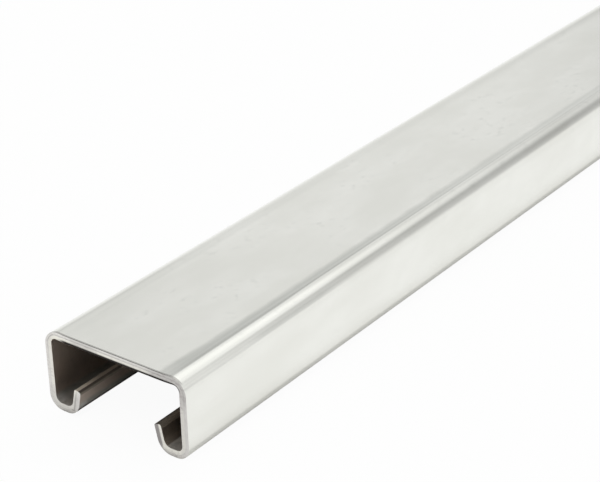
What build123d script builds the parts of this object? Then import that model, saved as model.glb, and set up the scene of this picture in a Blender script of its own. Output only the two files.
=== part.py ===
from build123d import *
from math import cos, radians, sin, sqrt, tan
import os

# Strut channel: one length of steel strip, cold rolled into a low open box with inturned lips.
# It lies slot down, its solid back up. Length along X, width along Y, height along Z, all in mm.
# The origin is the middle of the footprint, on the level that the feet of the section rest on.

# Driving dimensions of the stock length, which is 2 ft, and of its section
length = 609.6
width = 41.3
height = 20.6
wall = 1.9

# Inside radii of the three bends on each side, in the order that the strip passes through them
back_bend = 1.5
foot_bend = 1.7
lip_bend = 1.9
# The back bend is the tightest, and rolling it draws the strip thinner there by this share
back_thinning = 0.15
# The least flat that a foot keeps between its two bends, to stand on
foot_flat = 0.4

# The slot between the two lip tips, the top of a lip above the feet, and how far a lip leans in
slot_width = 21.8
lip_height = 7.1
lip_lean = 12.0

# Edges: the rounded slit edge of the strip, and the bevel that deburring leaves on the sawn ends
slit_edge = 0.45
saw_deburr = 0.3

lean = radians(lip_lean)
side = width / 2
# The strip ends square, so the wall side of a leaning lip tip stands higher than its slot side.
tip_height = lip_height - wall * sin(lean)
tip = (slot_width / 2, tip_height)
tip_inside = (slot_width / 2 + wall * cos(lean), lip_height)
lip_root = slot_width / 2 + tip_height * tan(lean)
# A bend takes its radius of the strip's straight on each side, times this share in the lip bend.
lip_share = tan(radians(90 - lip_lean) / 2)
lip_root_inside = lip_root + wall * lip_share

# A foot holds two bends and the flat between them, so in a narrow foot both bends are tighter.
bend_room = side - foot_flat - wall - lip_root_inside
tighter = min(1, bend_room / (foot_bend + lip_bend * lip_share))
foot_radius = foot_bend * tighter
lip_radius = lip_bend * tighter
# A square bend stays one wall thick where its outside radius is the inside one plus the wall.
# Each share of thinning at its middle moves the outer face in, which takes a larger radius.
back_outside = back_bend + wall * (1 + back_thinning / (sqrt(2) - 1))

with BuildPart() as channel:
    with BuildSketch(Plane.YZ) as section:
        # One half: along the back, down the wall, under the foot and up the lip, then back inside
        with BuildLine():
            outer_face = FilletPolyline(
                (0, height),
                (side, height),
                (side, 0),
                (lip_root, 0),
                tip,
                radius=[back_outside, foot_radius + wall, lip_radius + wall],
            )
            inner_face = FilletPolyline(
                (0, height - wall),
                (side - wall, height - wall),
                (side - wall, wall),
                (lip_root_inside, wall),
                tip_inside,
                radius=[back_bend, foot_radius, lip_radius],
            )
            Line(outer_face @ 0, inner_face @ 0)
            Line(outer_face @ 1, inner_face @ 1)
        make_face()
        # The strip's slit edge is its tip: the two corners there are the vertices nearest to it.
        slit_corners = section.vertices().sort_by_distance(tip)[:2]
        fillet(slit_corners, radius=slit_edge)
        mirror(about=Plane.YZ)
    extrude(amount=length / 2, both=True)
    sawn_ends = channel.faces().filter_by(Axis.X)
    chamfer(sawn_ends.edges(), length=saw_deburr)

channel.part.label = "strut_channel"
os.makedirs("parts", exist_ok=True)
export_step(channel.part, "parts/strut_channel.step")
print("volume mm3", round(channel.part.volume), "box", channel.part.bounding_box())
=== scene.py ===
"""A shallow strut channel in satin cold-rolled stainless steel, slot down on a pale studio floor."""

import math

import bpy
from mathutils import Matrix, Vector


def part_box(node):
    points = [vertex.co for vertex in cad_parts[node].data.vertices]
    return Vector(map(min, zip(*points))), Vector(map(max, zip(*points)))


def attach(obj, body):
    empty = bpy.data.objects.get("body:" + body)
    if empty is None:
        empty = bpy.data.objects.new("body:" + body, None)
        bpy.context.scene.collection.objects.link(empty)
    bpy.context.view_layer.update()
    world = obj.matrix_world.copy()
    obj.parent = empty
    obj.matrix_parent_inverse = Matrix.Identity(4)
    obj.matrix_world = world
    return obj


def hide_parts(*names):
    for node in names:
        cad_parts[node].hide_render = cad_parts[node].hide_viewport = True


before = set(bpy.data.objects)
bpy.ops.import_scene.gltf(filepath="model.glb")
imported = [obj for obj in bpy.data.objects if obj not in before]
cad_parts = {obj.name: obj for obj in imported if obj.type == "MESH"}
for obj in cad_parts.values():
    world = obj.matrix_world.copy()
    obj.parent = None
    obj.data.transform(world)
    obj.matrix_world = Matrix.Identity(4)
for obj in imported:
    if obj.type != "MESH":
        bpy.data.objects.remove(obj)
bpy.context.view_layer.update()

# One millimetre in Blender's metres; the channel's sizes and all that follows from them are in mm
MM = 0.001
CHANNEL = "strut_channel"
low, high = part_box(CHANNEL)
length, width, height = ((top - bottom) / MM for top, bottom in zip(high, low))
half_length = length / 2
side = width / 2

# The rest of the section; its length, width and height come from the frame
WALL = 1.9
BACK_BEND = 1.5
BACK_BEND_OUTSIDE = 4.09
FOOT_BEND = 1.7
LIP_BEND = 1.9
SLOT_WIDTH = 21.8
LIP_HEIGHT = 7.1
LIP_LEAN = math.radians(12.0)
SLIT_EDGE = 0.45
SAW_DEBURR = 0.3
# The slot side of a lip: its upper corner, and how far from the middle it would meet the floor
TIP_HEIGHT = LIP_HEIGHT - WALL * math.sin(LIP_LEAN)
LIP_ROOT = SLOT_WIDTH / 2 + TIP_HEIGHT * math.tan(LIP_LEAN)
# The back is dished by a hair: from this far off its middle it rises a little towards its bends
DISH_FROM_MIDDLE = 14.8
DISH_RISE = math.radians(4.0)
DISH_BEND = 45.0
BEND_STEPS = 14
# Faces that meet at less than this, in degrees, are shaded as one round surface
ROUND_BELOW = 35
# Only the edges of the sawn ends are sharper than this, in degrees, and get the deburring bevel
DEBURR_ABOVE = 60

# How far each surface's fine lines rise and fall: those of the rolls, and those of the saw
ROLLED_RELIEF = 0.0015
SAWN_RELIEF = 0.02

# What the steel's colour comes down to in its dull specks and darker ends, and where dark
# reflections and shade are painted
DULL_STEEL_AND_PAINTED_SHADE = "#B5B5B0"

# The photograph's view: where the camera stands, and where the near end's middle lies in the picture
IMAGE_WIDTH, IMAGE_HEIGHT = 600, 482
VIEW_AZIMUTH = math.radians(-52.828)
VIEW_ELEVATION = math.radians(27.056)
VIEW_ROLL = math.radians(-1.405)
VIEW_DISTANCE = 399.18 * MM
NEAR_END_PIXEL = (115.62, 394.42)
SENSOR_WIDTH = 36.0
LENS = 108.28

# The studio: its floor in metres, how white the floor looks to the camera and to the steel, and how
# far in millimetres a painted soft shadow reaches round the channel in what the steel sees of the
# floor
FLOOR_SIZE = 12.0
FLOOR_TO_CAMERA = 0.95
FLOOR_TO_STEEL = 1.06
CONTACT_SHADOW = 7.0

# The steel is a little warm and the studio's light a little cool, so that the two nearly cancel out
COOL_LIGHT = (0.978, 1.0, 0.998, 1.0)

# Brightness of the plain room by elevation in degrees, and the panels that hang in it
ROOM = [(-90, 1.0), (4, 1.0), (14, 0.85), (30, 0.78), (48, 0.95), (90, 1.0)]
# Each panel: azimuth from and to, elevation from and to, width of its soft edge, brightness
PANELS = [
    (-180, 180, 42.5, 72, 7, 1.21),
    (-60, -10, 40, 56, 8, 1.08),
    (-34, 85, 14, 39.5, 6, 0.66),
    (-43.5, -20, 12, 28, 7, 0.58),
    (-31.5, -6, 19, 37, 8, 0.45),
    (6, 40, 35, 42, 6, 0.9),
    (26, 85, 12, 33, 4, 0.86),
    (38, 60, 27, 36, 5, 0.91),
    (43, 58, 21, 29, 4, 0.7),
    (-64, -43, 5, 14, 5, 0.78),
    (-70, -39.4, 27, 38, 2, 0.97),
    (-70, -45.0, 15, 27, 2, 0.97),
    (95, 170, 28, 56, 10, 0.3),
]


def linear(hex_colour):
    """An sRGB hex colour as linear RGBA."""
    values = [int(hex_colour[i : i + 2], 16) / 255 for i in (1, 3, 5)]
    curve = [v / 12.92 if v <= 0.04045 else ((v + 0.055) / 1.055) ** 2.4 for v in values]
    return (*curve, 1.0)


def add(tree, kind, inputs=None, **settings):
    """Adds a node, sets its properties and fills its inputs with values, hex colours or outputs."""
    node = tree.nodes.new(kind)
    for name, value in settings.items():
        setattr(node, name, value)
    for name, value in (inputs or {}).items():
        socket = node.inputs[name]
        if isinstance(value, bpy.types.NodeSocket):
            tree.links.new(value, socket)
        elif isinstance(value, str) and value.startswith("#"):
            socket.default_value = linear(value)
        else:
            socket.default_value = value
    return node


def new_material(name):
    """An empty node material: itself, its tree and its output node."""
    material = bpy.data.materials.new(name)
    material.use_nodes = True
    tree = material.node_tree
    tree.nodes.clear()
    return material, tree, add(tree, "ShaderNodeOutputMaterial")


def measure(tree):
    """Where a point lies, in millimetres.

    Gives its place, the place's three parts, how far it is from the middle across the channel, and
    how far in from the nearer end.
    """
    place = add(tree, "ShaderNodeTexCoord").outputs["Object"]
    place = add(tree, "ShaderNodeVectorMath", {0: place, "Scale": 1 / MM}, operation="SCALE")
    place = place.outputs["Vector"]
    x, y, z = add(tree, "ShaderNodeSeparateXYZ", {"Vector": place}).outputs
    along, across = (
        add(tree, "ShaderNodeMath", {0: part}, operation="ABSOLUTE").outputs["Value"]
        for part in (x, y)
    )
    from_end = add(tree, "ShaderNodeMath", {0: half_length, 1: along}, operation="SUBTRACT")
    return place, (x, y, z), across, from_end.outputs["Value"]


def mask(tree, *factors):
    """The product of its factors: sockets, numbers, and soft edges given as (value, start, end).

    A soft edge is 0 at its start and 1 at its end, with a smooth change between, either way round.
    """
    product = None
    for factor in factors:
        if isinstance(factor, tuple):
            value, start, end = factor
            rising = end > start
            limits = {
                "Value": value,
                "From Min": start if rising else end,
                "From Max": end if rising else start,
                "To Min": 0.0 if rising else 1.0,
                "To Max": 1.0 if rising else 0.0,
            }
            edge = add(tree, "ShaderNodeMapRange", limits, interpolation_type="SMOOTHSTEP")
            factor = edge.outputs["Result"]
        if product is None:
            product = factor
        else:
            both = add(tree, "ShaderNodeMath", {0: product, 1: factor}, operation="MULTIPLY")
            product = both.outputs["Value"]
    return product


def strongest(tree, *masks):
    """The largest of its masks at each point."""
    largest = masks[0]
    for other in masks[1:]:
        larger = add(tree, "ShaderNodeMath", {0: largest, 1: other}, operation="MAXIMUM")
        largest = larger.outputs["Value"]
    return largest


def total(tree, start, *shares):
    """A start value plus patterns, each times its own share."""
    for pattern, share in shares:
        inputs = {0: pattern, 1: share, 2: start}
        start = add(tree, "ShaderNodeMath", inputs, operation="MULTIPLY_ADD").outputs["Value"]
    return start


def colour_over(tree, shade, *layers):
    """Colours laid over a shade one after another, each as strongly as its mask says."""
    for strength, colour in layers:
        # A Mix node's colours are its sockets 6 and 7, and their mix is its output 2
        inputs = {0: strength, 6: shade, 7: colour}
        shade = add(tree, "ShaderNodeMix", inputs, data_type="RGBA").outputs[2]
    return shade


def mottling(tree, place, sizes, detail):
    """Noise whose lumps are about as large as the sizes along X, Y and Z, in millimetres."""
    per_lump = tuple(1 / size for size in sizes)
    scaled = add(tree, "ShaderNodeVectorMath", {0: place, 1: per_lump}, operation="MULTIPLY")
    inputs = {"Vector": scaled.outputs["Vector"], "Scale": 1.0, "Detail": detail}
    return add(tree, "ShaderNodeTexNoise", inputs).outputs["Fac"]


def depth_in_strip(tree, place, z, across):
    """How far into the strip's thickness a point lies: 0 at its outer face, 1 at its inner face."""
    # A box with rounded corners follows the back, the walls and the feet
    radius = LIP_BEND + WALL
    past = place
    for operation, other in (
        ("SUBTRACT", (0.0, 0.0, height / 2)),
        ("ABSOLUTE", (0.0, 0.0, 0.0)),
        ("SUBTRACT", (0.0, side - radius, height / 2 - radius)),
        ("MULTIPLY", (0.0, 1.0, 1.0)),
    ):
        past = add(tree, "ShaderNodeVectorMath", {0: past, 1: other}, operation=operation)
        past = past.outputs["Vector"]
    in_bend = add(tree, "ShaderNodeVectorMath", {0: past, 1: (0.0, 0.0, 0.0)}, operation="MAXIMUM")
    in_bend = add(tree, "ShaderNodeVectorMath", {0: in_bend.outputs["Vector"]}, operation="LENGTH")
    _, past_y, past_z = add(tree, "ShaderNodeSeparateXYZ", {"Vector": past}).outputs
    in_flat = {0: strongest(tree, past_y, past_z), 1: 0.0}
    in_flat = add(tree, "ShaderNodeMath", in_flat, operation="MINIMUM")
    depth = total(tree, radius, (in_bend.outputs["Value"], -1.0), (in_flat.outputs["Value"], -1.0))
    # The leaning lips are measured from the slot instead, and above them that depth grows too large
    # to count
    above_lips = mask(tree, (z, 7.6, 8.0))
    in_lip = total(
        tree, -LIP_ROOT, (across, 1.0), (z, math.tan(LIP_LEAN)), (above_lips, half_length)
    )
    depth = add(tree, "ShaderNodeMath", {0: depth, 1: in_lip}, operation="MINIMUM")
    return mask(tree, depth.outputs["Value"], 1 / WALL)


def finish_steel(tree, output, shade, roughness, lines, relief):
    """Bare steel of a shade and a roughness, with fine lines that rise and fall by the relief."""
    bump = add(
        tree, "ShaderNodeBump", {"Strength": 1.0, "Distance": relief * MM, "Height": lines}
    )
    steel = add(
        tree,
        "ShaderNodeBsdfPrincipled",
        {
            "Base Color": shade,
            "Metallic": 1.0,
            "Roughness": roughness,
            "Normal": bump.outputs["Normal"],
        },
    )
    tree.links.new(steel.outputs["BSDF"], output.inputs["Surface"])


def rolled_strip():
    """Cold-rolled stainless strip: satin, faintly clouded, with fine lines along its length."""
    material, tree, output = new_material("stainless_cold_rolled")
    place, (x, y, z), across, from_end = measure(tree)

    # Clouds of 5 to 25 mm where the rolls pressed the sheet unevenly, specks of about 2 mm, and the
    # lines of the rolls. The real lines are about 0.1 mm apart and wouldn't show: these are 0.6 mm
    clouds = mottling(tree, place, (26, 11, 11), 3.0)
    patches = mottling(tree, place, (7, 4, 4), 2.0)
    lines = mottling(tree, place, (160, 0.6, 0.6), 2.0)
    grains = mottling(tree, place, (2.2, 1.8, 1.8), 1.0)
    on_back = mask(tree, (z, 19.2, 20.0))
    specks = mask(tree, (grains, 0.58, 0.80), on_back, (clouds, 0.42, 0.6), 0.16)

    # Bands of painted dark reflection along the back, just before its bends, streaked by the fine
    # lines.
    # They are broader near the ends, stronger on the near side, and fainter again at the cut
    widened = mask(tree, (from_end, 25, 0))
    towards_rim = total(tree, across, (widened, 0.9), (patches, 1.2))
    narrowed = mask(tree, (from_end, 35, 55))
    flat_of_back = mask(tree, (total(tree, across, (narrowed, 0.25)), 17.0, 16.7))
    painted_reflection_bands = mask(
        tree,
        (towards_rim, 13.7, 15.7),
        flat_of_back,
        on_back,
        total(tree, 0.2, (lines, 0.6)),
        total(tree, 0.2, (mask(tree, (y, 1.0, -1.0)), 0.8)),
        total(tree, 0.7, (mask(tree, (from_end, 150, 30)), 0.55)),
        total(tree, 1.0, (mask(tree, (from_end, 8, 0)), -0.3)),
    )

    # Painted shade: a short dark patch low on the near bend, for a darker reflection there, and a
    # dark line along the lower corners of the walls, for the floor's shade they reflect. The back is
    # a little darker towards its ends
    from_near_end = total(tree, half_length, (x, 1.0))
    painted_bend_shade = mask(
        tree,
        (from_near_end, 21, 30),
        (from_near_end, 64, 48),
        (z, 18.1, 18.6),
        (z, 19.7, 18.8),
        (y, -18, -19),
        0.24,
    )
    painted_foot_shade = mask(tree, (z, 3.5, 2.9), (z, 2.1, 2.5), (across, 19, 20), 0.22)
    darker_back_ends = mask(tree, (from_end, 70, 35), on_back, flat_of_back, 0.06)
    # A thin dark line painted along the back's sawn edges: the painted shadow of the saw's burr
    burr_shadow = mask(tree, (from_end, 0.65, 0.4), on_back, 0.6)

    # Painted shade darkens and warms the inside and the lips' slot side, less so at the mouth
    depth = depth_in_strip(tree, place, z, across)
    below_tips = mask(tree, (z, 8.2, 7.8))
    slot_side = mask(tree, (across, 13.6, 13.2), below_tips)
    inside = strongest(tree, mask(tree, (depth, 0.5, 0.8)), slot_side)
    at_mouth = mask(tree, (from_end, 9, 1))
    inside_shade = colour_over(tree, "#D4C7BD", (mask(tree, at_mouth, (z, 5, 9)), "#ECDDD0"))
    # Painted light and shade in the gutters over the feet, palest inside the mouth and in the near
    # gutter
    gutter_floor = mask(tree, inside, (z, 4.4, 2.8))
    gutter_light = colour_over(
        tree,
        "#B0AEA9",
        (mask(tree, (from_end, 3.5, 1.2)), "#D2D0CC"),
        (mask(tree, (y, -10, -12)), "#DBD8D3"),
    )
    # Behind the lips the painted shade is darkest, and lighter at the mouth
    behind_lips = mask(tree, inside, (across, 14.6, 14.2), (across, 12.2, 12.8), below_tips)
    behind_lips_shade = colour_over(tree, "#716961", (mask(tree, (from_end, 6, 1)), "#A69C90"))

    # The slit edges along the lip tips are cut by shearing, which leaves them rougher, with a dark
    # burr
    slit = mask(tree, (z, 5.9, 6.3), (z, 7.6, 7.3), (across, 13.3, 12.9))
    # Painted shade darkens the near lip's edge
    near_slit_shade = mask(tree, slit, (y, 0, -5))
    slit_burr = mask(tree, slit, (across, 11.8, 11.6), (across, 10.9, 11.2))
    # At the mouth painted light lightens the slit edges
    slit_light_at_mouth = mask(tree, at_mouth, (across, 11.2, 11.7))
    sheared_and_lit = colour_over(tree, "#B8AFA3", (slit_light_at_mouth, "#EFE5D8"))
    # A dark line painted under the lip bends: painted shadow where the channel lies on the floor
    lip_bend_shadow = mask(tree, (depth, 0.4, 0.2), (z, 2.4, 1.8), (across, 15.4, 14.8))

    shade = colour_over(
        tree,
        "#EBE9E3",
        (mask(tree, (clouds, 0.3, 0.7)), "#F3F1EC"),
        (mask(tree, patches, 0.6), "#E8E6E0"),
        (specks, DULL_STEEL_AND_PAINTED_SHADE),
        (painted_reflection_bands, DULL_STEEL_AND_PAINTED_SHADE),
        (painted_bend_shade, DULL_STEEL_AND_PAINTED_SHADE),
        (painted_foot_shade, "#AEB1B3"),
        (darker_back_ends, DULL_STEEL_AND_PAINTED_SHADE),
        (burr_shadow, "#8E8A86"),
        (inside, inside_shade),
        (gutter_floor, gutter_light),
        (behind_lips, behind_lips_shade),
        (slit, sheared_and_lit),
        (near_slit_shade, "#8F877C"),
        (slit_burr, "#7B736B"),
        (lip_bend_shadow, "#6F6865"),
    )
    roughness = total(
        tree, 0.155, (clouds, 0.05), (lines, 0.03), (inside, 0.25), (gutter_floor, 0.12), (slit, 0.25)
    )
    finish_steel(tree, output, shade, roughness, lines, ROLLED_RELIEF)
    return material


def sawn_end():
    """The strip's sawn end: dull, with saw lines along Y, a cream inner half and grey smears."""
    material, tree, output = new_material("stainless_sawn")
    place, (_, y, z), across, _ = measure(tree)
    depth = depth_in_strip(tree, place, z, across)
    # The saw's lines, 0.35 mm apart, and what its burr, its smears and its crumbs are broken up by
    lines = mottling(tree, place, (1, 8, 0.35), 3.0)
    blots = mottling(tree, place, (3, 1.6, 1.6), 2.0)
    smudges = mottling(tree, place, (10, 9, 5), 2.0)
    crumbs = mottling(tree, place, (1, 0.9, 0.5), 1.0)
    # How far a point is from the near bend, from the near lip and from the far half of the back
    spots = ((-16.5, 18.5), (-11.0, 5.0), (9.0, 19.6))
    from_bend, from_lip, from_back = (
        add(
            tree,
            "ShaderNodeVectorMath",
            {0: place, 1: (-half_length, *spot)},
            operation="DISTANCE",
        ).outputs["Value"]
        for spot in spots
    )

    # The near side is greyer, most of all at its corner and on its lip. The far foot and one spot of
    # the back are a little grey too
    towards_near_side = mask(tree, (y, 12, -12))
    far_foot = mask(tree, (z, 8.5, 4.0), (y, 0, 6))
    smear = strongest(
        tree,
        mask(tree, (smudges, 0.5, 0.75), towards_near_side),
        mask(tree, towards_near_side, 0.3),
        mask(tree, (y, -17, -19), 0.6),
        mask(tree, (y, 17.5, 19.0), 0.25),
        mask(tree, (from_bend, 10, 4)),
        mask(tree, (from_back, 5.5, 2.5), 0.6),
        mask(tree, far_foot, 0.6),
    )
    dark_lip = mask(tree, (from_lip, 5.5, 3.0), (depth, 0.75, 0.5))
    crumbled = mask(
        tree,
        (crumbs, 0.5, 0.68),
        total(tree, 0.2, (mask(tree, (from_bend, 9, 3)), 0.4)),
    )

    # A dark line part of the way in, where the saw's burr was brushed over, broken by the blots
    brushed = mask(
        tree,
        (depth, 0.3, 0.38),
        (depth, 0.5, 0.42),
        blots,
        total(tree, 0.2, (mask(tree, (z, 12, 18)), 0.6)),
    )
    lip_line = mask(
        tree, (depth, 0.5, 0.6), (depth, 0.85, 0.75), far_foot, (y, 14.4, 13.8), 0.6
    )
    # A dark band painted along the cut's edge under the back: painted shade on the burr that hangs
    # there
    shade_under_back = mask(tree, (depth, 0.72, 0.86), (y, 17.0, 14.5), (z, 17, 18))

    shade = colour_over(
        tree,
        "#EBE7E3",
        (mask(tree, (depth, 0.35, 0.65)), "#F6F2E8"),
        (smear, "#C3BFBC"),
        (dark_lip, "#8F8A89"),
        (mask(tree, lines, 0.2), "#C4BFBA"),
        (crumbled, "#A9A1A0"),
        (strongest(tree, brushed, lip_line), "#8C8785"),
        (shade_under_back, "#2E2A28"),
    )
    finish_steel(tree, output, shade, total(tree, 0.32, (lines, 0.2)), lines, SAWN_RELIEF)
    return material


def section_corners():
    """The corners (y, z) of the section's outline with the radius of each, in millimetres."""
    tip_y = SLOT_WIDTH / 2
    tip_inside_y = tip_y + WALL * math.cos(LIP_LEAN)
    root_inside_y = LIP_ROOT + WALL * math.tan((math.pi / 2 - LIP_LEAN) / 2)
    # The back bend's crown is the highest line, and the dished back runs into it from just below
    slope = math.tan(DISH_RISE)
    meets_y = side - BACK_BEND_OUTSIDE * (1 + math.sin(DISH_RISE))
    meets_z = height - BACK_BEND_OUTSIDE * (1 - math.cos(DISH_RISE))
    back_z = meets_z - (meets_y - DISH_FROM_MIDDLE) * slope
    drop = WALL / math.cos(DISH_RISE)
    dish_inside_y = meets_y + (back_z - WALL - meets_z + drop) / slope
    right = [
        (DISH_FROM_MIDDLE, back_z, DISH_BEND),
        (side, meets_z + (side - meets_y) * slope, BACK_BEND_OUTSIDE),
        (side, 0.0, FOOT_BEND + WALL),
        (LIP_ROOT, 0.0, LIP_BEND + WALL),
        (tip_y, TIP_HEIGHT, SLIT_EDGE),
        (tip_inside_y, LIP_HEIGHT, SLIT_EDGE),
        (root_inside_y, WALL, LIP_BEND),
        (side - WALL, WALL, FOOT_BEND),
        (side - WALL, meets_z + (side - WALL - meets_y) * slope - drop, BACK_BEND),
        (dish_inside_y, back_z - WALL, DISH_BEND + WALL),
    ]
    left = [(-y, z, radius) for y, z, radius in reversed(right)]
    return right + left


def outline_object(corners):
    """The section's corners as a closed loop of edges, with each corner's radius as an attribute."""
    mesh = bpy.data.meshes.new("section_corners")
    count = len(corners)
    places = [(y * MM, z * MM, 0.0) for y, z, radius in corners]
    mesh.from_pydata(places, [(i, (i + 1) % count) for i in range(count)], [])
    radii = mesh.attributes.new("corner_radius", "FLOAT", "POINT")
    radii.data.foreach_set("value", [radius * MM for y, z, radius in corners])
    body = bpy.data.objects.new("rolled_strip_channel", mesh)
    bpy.context.scene.collection.objects.link(body)
    return body


def roll_forming_tree():
    """Geometry Nodes: rounds the section's corners and runs it out to the channel's length."""
    tree = bpy.data.node_groups.new("roll_formed_channel", "GeometryNodeTree")
    tree.is_modifier = True
    interface = tree.interface
    interface.new_socket("Geometry", in_out="INPUT", socket_type="NodeSocketGeometry")
    interface.new_socket("Length", in_out="INPUT", socket_type="NodeSocketFloat")
    interface.new_socket("Bend Steps", in_out="INPUT", socket_type="NodeSocketInt")
    interface.new_socket("Rolled Face", in_out="INPUT", socket_type="NodeSocketMaterial")
    interface.new_socket("Sawn End", in_out="INPUT", socket_type="NodeSocketMaterial")
    interface.new_socket("Geometry", in_out="OUTPUT", socket_type="NodeSocketGeometry")
    given = add(tree, "NodeGroupInput").outputs

    # The section's face, with every corner bent to its own radius
    outline = add(tree, "GeometryNodeMeshToCurve", {"Mesh": given["Geometry"]})
    radius = add(
        tree, "GeometryNodeInputNamedAttribute", {"Name": "corner_radius"}, data_type="FLOAT"
    )
    bent = add(
        tree,
        "GeometryNodeFilletCurve",
        {
            "Curve": outline.outputs["Curve"],
            "Count": given["Bend Steps"],
            "Radius": radius.outputs["Attribute"],
        },
        mode="POLY",
    )
    section = add(
        tree, "GeometryNodeFillCurve", {"Curve": bent.outputs["Curve"]}, mode="NGONS"
    ).outputs["Mesh"]

    # The face run out to the length, and closed at its start by itself, turned round
    run = add(tree, "ShaderNodeCombineXYZ", {"Z": given["Length"]})
    walls = add(
        tree,
        "GeometryNodeExtrudeMesh",
        {"Mesh": section, "Offset": run.outputs["Vector"], "Individual": False},
        mode="FACES",
    )
    start = add(tree, "GeometryNodeFlipFaces", {"Mesh": section})
    both = add(tree, "GeometryNodeJoinGeometry")
    tree.links.new(start.outputs["Mesh"], both.inputs["Geometry"])
    tree.links.new(walls.outputs["Mesh"], both.inputs["Geometry"])
    closed = add(
        tree,
        "GeometryNodeMergeByDistance",
        {"Geometry": both.outputs["Geometry"], "Distance": 0.001 * MM},
    )

    # Out of the drawing plane and into the frame: section across Y and Z, length along X
    half_back = add(tree, "ShaderNodeMath", {0: given["Length"], 1: -0.5}, operation="MULTIPLY")
    back = add(tree, "ShaderNodeCombineXYZ", {"X": half_back.outputs["Value"]})
    placed = add(
        tree,
        "GeometryNodeTransform",
        {
            "Geometry": closed.outputs["Geometry"],
            "Translation": back.outputs["Vector"],
            "Rotation": (math.pi / 2, 0.0, math.pi / 2),
        },
    )
    smooth = add(tree, "GeometryNodeSetShadeSmooth", {"Geometry": placed.outputs["Geometry"]})
    real = add(tree, "GeometryNodeRealizeInstances", {"Geometry": smooth.outputs["Geometry"]})

    # The rolled faces and the sawn ends, told apart by which way they face
    normal = add(tree, "GeometryNodeInputNormal").outputs["Normal"]
    facing = add(tree, "ShaderNodeSeparateXYZ", {"Vector": normal}).outputs["X"]
    along = add(tree, "ShaderNodeMath", {0: facing}, operation="ABSOLUTE").outputs["Value"]
    is_end = add(tree, "ShaderNodeMath", {0: along, 1: 0.9}, operation="GREATER_THAN")
    rolled = add(
        tree,
        "GeometryNodeSetMaterial",
        {"Geometry": real.outputs["Geometry"], "Material": given["Rolled Face"]},
    )
    sawn = add(
        tree,
        "GeometryNodeSetMaterial",
        {
            "Geometry": rolled.outputs["Geometry"],
            "Selection": is_end.outputs["Value"],
            "Material": given["Sawn End"],
        },
    )
    result = add(tree, "NodeGroupOutput")
    tree.links.new(sawn.outputs["Geometry"], result.inputs["Geometry"])
    return tree


def set_inputs(modifier, values):
    """Sets a Geometry Nodes modifier's inputs by their names, through the sockets' identifiers."""
    for item in modifier.node_group.interface.items_tree:
        if item.item_type == "SOCKET" and item.in_out == "INPUT" and item.name in values:
            modifier[item.identifier] = values[item.name]


def settle(body):
    """Turns an object's modifiers into its plain mesh."""
    bpy.context.view_layer.update()
    shape = body.evaluated_get(bpy.context.evaluated_depsgraph_get())
    mesh = bpy.data.meshes.new_from_object(shape)
    mesh.name = body.name
    body.modifiers.clear()
    body.data = mesh


def build_channel():
    """The whole channel as one plain mesh, with its bends shaded round and its flats flat."""
    body = outline_object(section_corners())
    forming = body.modifiers.new("roll_forming", "NODES")
    forming.node_group = roll_forming_tree()
    set_inputs(
        forming,
        {
            "Length": length * MM,
            "Bend Steps": BEND_STEPS,
            "Rolled Face": rolled_strip(),
            "Sawn End": sawn_end(),
        },
    )
    deburring = body.modifiers.new("deburring", "BEVEL")
    deburring.limit_method = "ANGLE"
    deburring.angle_limit = math.radians(DEBURR_ABOVE)
    deburring.width = SAW_DEBURR * MM
    deburring.segments = 1
    # The bevel's faces take the first material, which is the rolled strip's
    deburring.material = 0
    settle(body)
    body.data.set_sharp_from_angle(angle=math.radians(ROUND_BELOW))
    flats = body.modifiers.new("flat_faces", "WEIGHTED_NORMAL")
    flats.mode = "FACE_AREA"
    flats.weight = 100
    flats.keep_sharp = True
    settle(body)
    return body


def place_camera():
    """A camera that sees the near end where the photograph shows it."""
    towards_camera = Vector(
        (
            math.sin(VIEW_AZIMUTH) * math.cos(VIEW_ELEVATION),
            -math.cos(VIEW_AZIMUTH) * math.cos(VIEW_ELEVATION),
            math.sin(VIEW_ELEVATION),
        )
    )
    forward = -towards_camera
    level_right = forward.cross(Vector((0, 0, 1))).normalized()
    level_up = level_right.cross(forward)
    right = level_right * math.cos(VIEW_ROLL) + level_up * math.sin(VIEW_ROLL)
    up = -level_right * math.sin(VIEW_ROLL) + level_up * math.cos(VIEW_ROLL)
    # What one pixel of the picture covers at the near end, in metres
    pixel = SENSOR_WIDTH / IMAGE_WIDTH / LENS * VIEW_DISTANCE
    aside = (NEAR_END_PIXEL[0] - IMAGE_WIDTH / 2) * pixel
    below = (NEAR_END_PIXEL[1] - IMAGE_HEIGHT / 2) * pixel
    near_end = Vector((low.x, 0, (low.z + high.z) / 2))
    stand = near_end - forward * VIEW_DISTANCE - right * aside + up * below
    lens = bpy.data.cameras.new("camera")
    lens.lens = LENS
    lens.sensor_width = SENSOR_WIDTH
    lens.sensor_fit = "HORIZONTAL"
    lens.clip_start = 0.01
    camera = bpy.data.objects.new("camera", lens)
    turn = Matrix((right, up, towards_camera)).transposed().to_4x4()
    camera.matrix_world = Matrix.Translation(stand) @ turn
    bpy.context.scene.collection.objects.link(camera)
    bpy.context.scene.camera = camera


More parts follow.
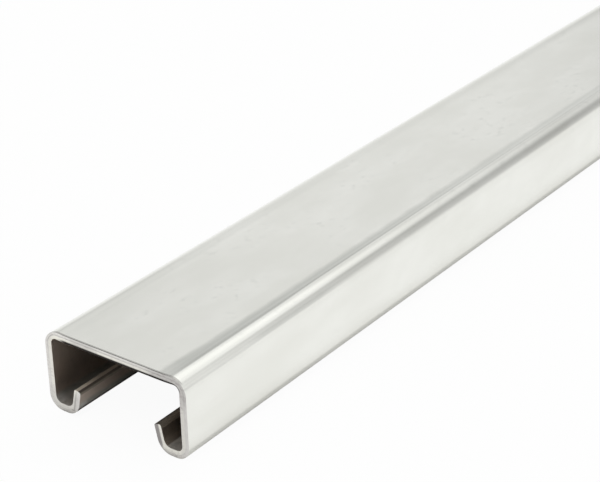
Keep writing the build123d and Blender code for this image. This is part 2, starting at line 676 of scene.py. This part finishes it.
def lay_floor():
    """A floor of pale matt paper, nearly white to the camera and the steel, with a soft shadow."""
    material, tree, output = new_material("studio_floor")
    across, from_end = measure(tree)[2:]
    ray = add(tree, "ShaderNodeLightPath").outputs

    # The white the floor adds for the camera, and for the steel outside a painted shadow round the
    # channel
    lit = strongest(
        tree,
        mask(tree, (across, side, side + CONTACT_SHADOW)),
        mask(tree, (from_end, 0, -CONTACT_SHADOW / 3)),
        # A little painted light creeps under the rounded feet
        mask(tree, (across, side - 1.5, side - 0.5), 0.08),
    )
    to_steel = mask(tree, ray["Is Glossy Ray"], lit, FLOOR_TO_STEEL)
    whitened = total(tree, to_steel, (ray["Is Camera Ray"], FLOOR_TO_CAMERA))
    cast = colour_over(tree, COOL_LIGHT, (ray["Is Camera Ray"], "#FFFFFF"))
    white = add(tree, "ShaderNodeEmission", {"Color": cast, "Strength": 1.0})

    # Past the mouth the paper under the channel is painted darker: a painted shadow, which leaves
    # the depth of it unlit
    open_paper = strongest(
        tree,
        mask(tree, (from_end, 20, 2)),
        mask(tree, (across, side - 9, side + 2.5)),
    )
    # A painted shadow makes it darkest where the feet press on it
    foot_shadow = mask(tree, (across, 11.6, 12.8), (across, 17.6, 16.6), (from_end, -1, 1))
    paper = colour_over(tree, "#807F7C", (open_paper, "#F4F4F2"), (foot_shadow, "#3A3938"))
    matt = add(tree, "ShaderNodeBsdfDiffuse", {"Color": paper})

    mixed = add(
        tree,
        "ShaderNodeMixShader",
        {0: whitened, 1: matt.outputs["BSDF"], 2: white.outputs["Emission"]},
    )
    tree.links.new(mixed.outputs["Shader"], output.inputs["Surface"])
    reach = FLOOR_SIZE / 2
    mesh = bpy.data.meshes.new("floor")
    corners = [(-reach, -reach, 0), (reach, -reach, 0), (reach, reach, 0), (-reach, reach, 0)]
    mesh.from_pydata(corners, [], [(0, 1, 2, 3)])
    mesh.materials.append(material)
    floor = bpy.data.objects.new("floor", mesh)
    bpy.context.scene.collection.objects.link(floor)


def light_the_studio():
    """A pale room round the channel, with soft panels that give the steel its bands."""
    world = bpy.data.worlds.new("studio")
    bpy.context.scene.world = world
    world.use_nodes = True
    tree = world.node_tree
    tree.nodes.clear()

    # The direction that the light comes from, as its elevation and azimuth in degrees
    direction = add(tree, "ShaderNodeTexCoord").outputs["Generated"]
    x, y, z = add(tree, "ShaderNodeSeparateXYZ", {"Vector": direction}).outputs
    rise = add(tree, "ShaderNodeMath", {0: z}, operation="ARCSINE").outputs["Value"]
    turn = add(tree, "ShaderNodeMath", {0: y, 1: x}, operation="ARCTAN2").outputs["Value"]
    elevation, azimuth = (
        add(tree, "ShaderNodeMath", {0: angle}, operation="DEGREES").outputs["Value"]
        for angle in (rise, turn)
    )

    spread = add(
        tree,
        "ShaderNodeMapRange",
        {"Value": elevation, "From Min": -90.0, "From Max": 90.0},
    )
    plain = add(tree, "ShaderNodeValToRGB", {"Fac": spread.outputs["Result"]})
    stops = plain.color_ramp.elements
    while len(stops) < len(ROOM):
        stops.new(0.5)
    for stop, (degrees, grey) in zip(stops, ROOM):
        stop.position = (degrees + 90) / 180
        stop.color = (grey, grey, grey, 1.0)
    light = plain.outputs["Color"]
    for west, east, bottom, top, edge, brightness in PANELS:
        edges = [
            (elevation, bottom - edge / 2, bottom + edge / 2),
            (elevation, top + edge / 2, top - edge / 2),
        ]
        # A panel that goes all the way round has no sides
        if east - west < 360:
            edges.append((azimuth, west - edge, west + edge))
            edges.append((azimuth, east + edge, east - edge))
        grey = (brightness, brightness, brightness, 1.0)
        light = colour_over(tree, light, (mask(tree, *edges), grey))
    cooled = add(
        tree, "ShaderNodeVectorMath", {0: light, 1: COOL_LIGHT[:3]}, operation="MULTIPLY"
    )
    # The camera sees the room as plain white paper
    ray = add(tree, "ShaderNodeLightPath").outputs
    seen = colour_over(tree, cooled.outputs["Vector"], (ray["Is Camera Ray"], "#FFFFFF"))
    background = add(tree, "ShaderNodeBackground", {"Color": seen, "Strength": 1.0})
    world_output = add(tree, "ShaderNodeOutputWorld")
    tree.links.new(background.outputs["Background"], world_output.inputs["Surface"])


channel = build_channel()
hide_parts(CHANNEL)
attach(channel, "root")
place_camera()
lay_floor()
light_the_studio()
bpy.context.scene.view_settings.view_transform = "Standard"
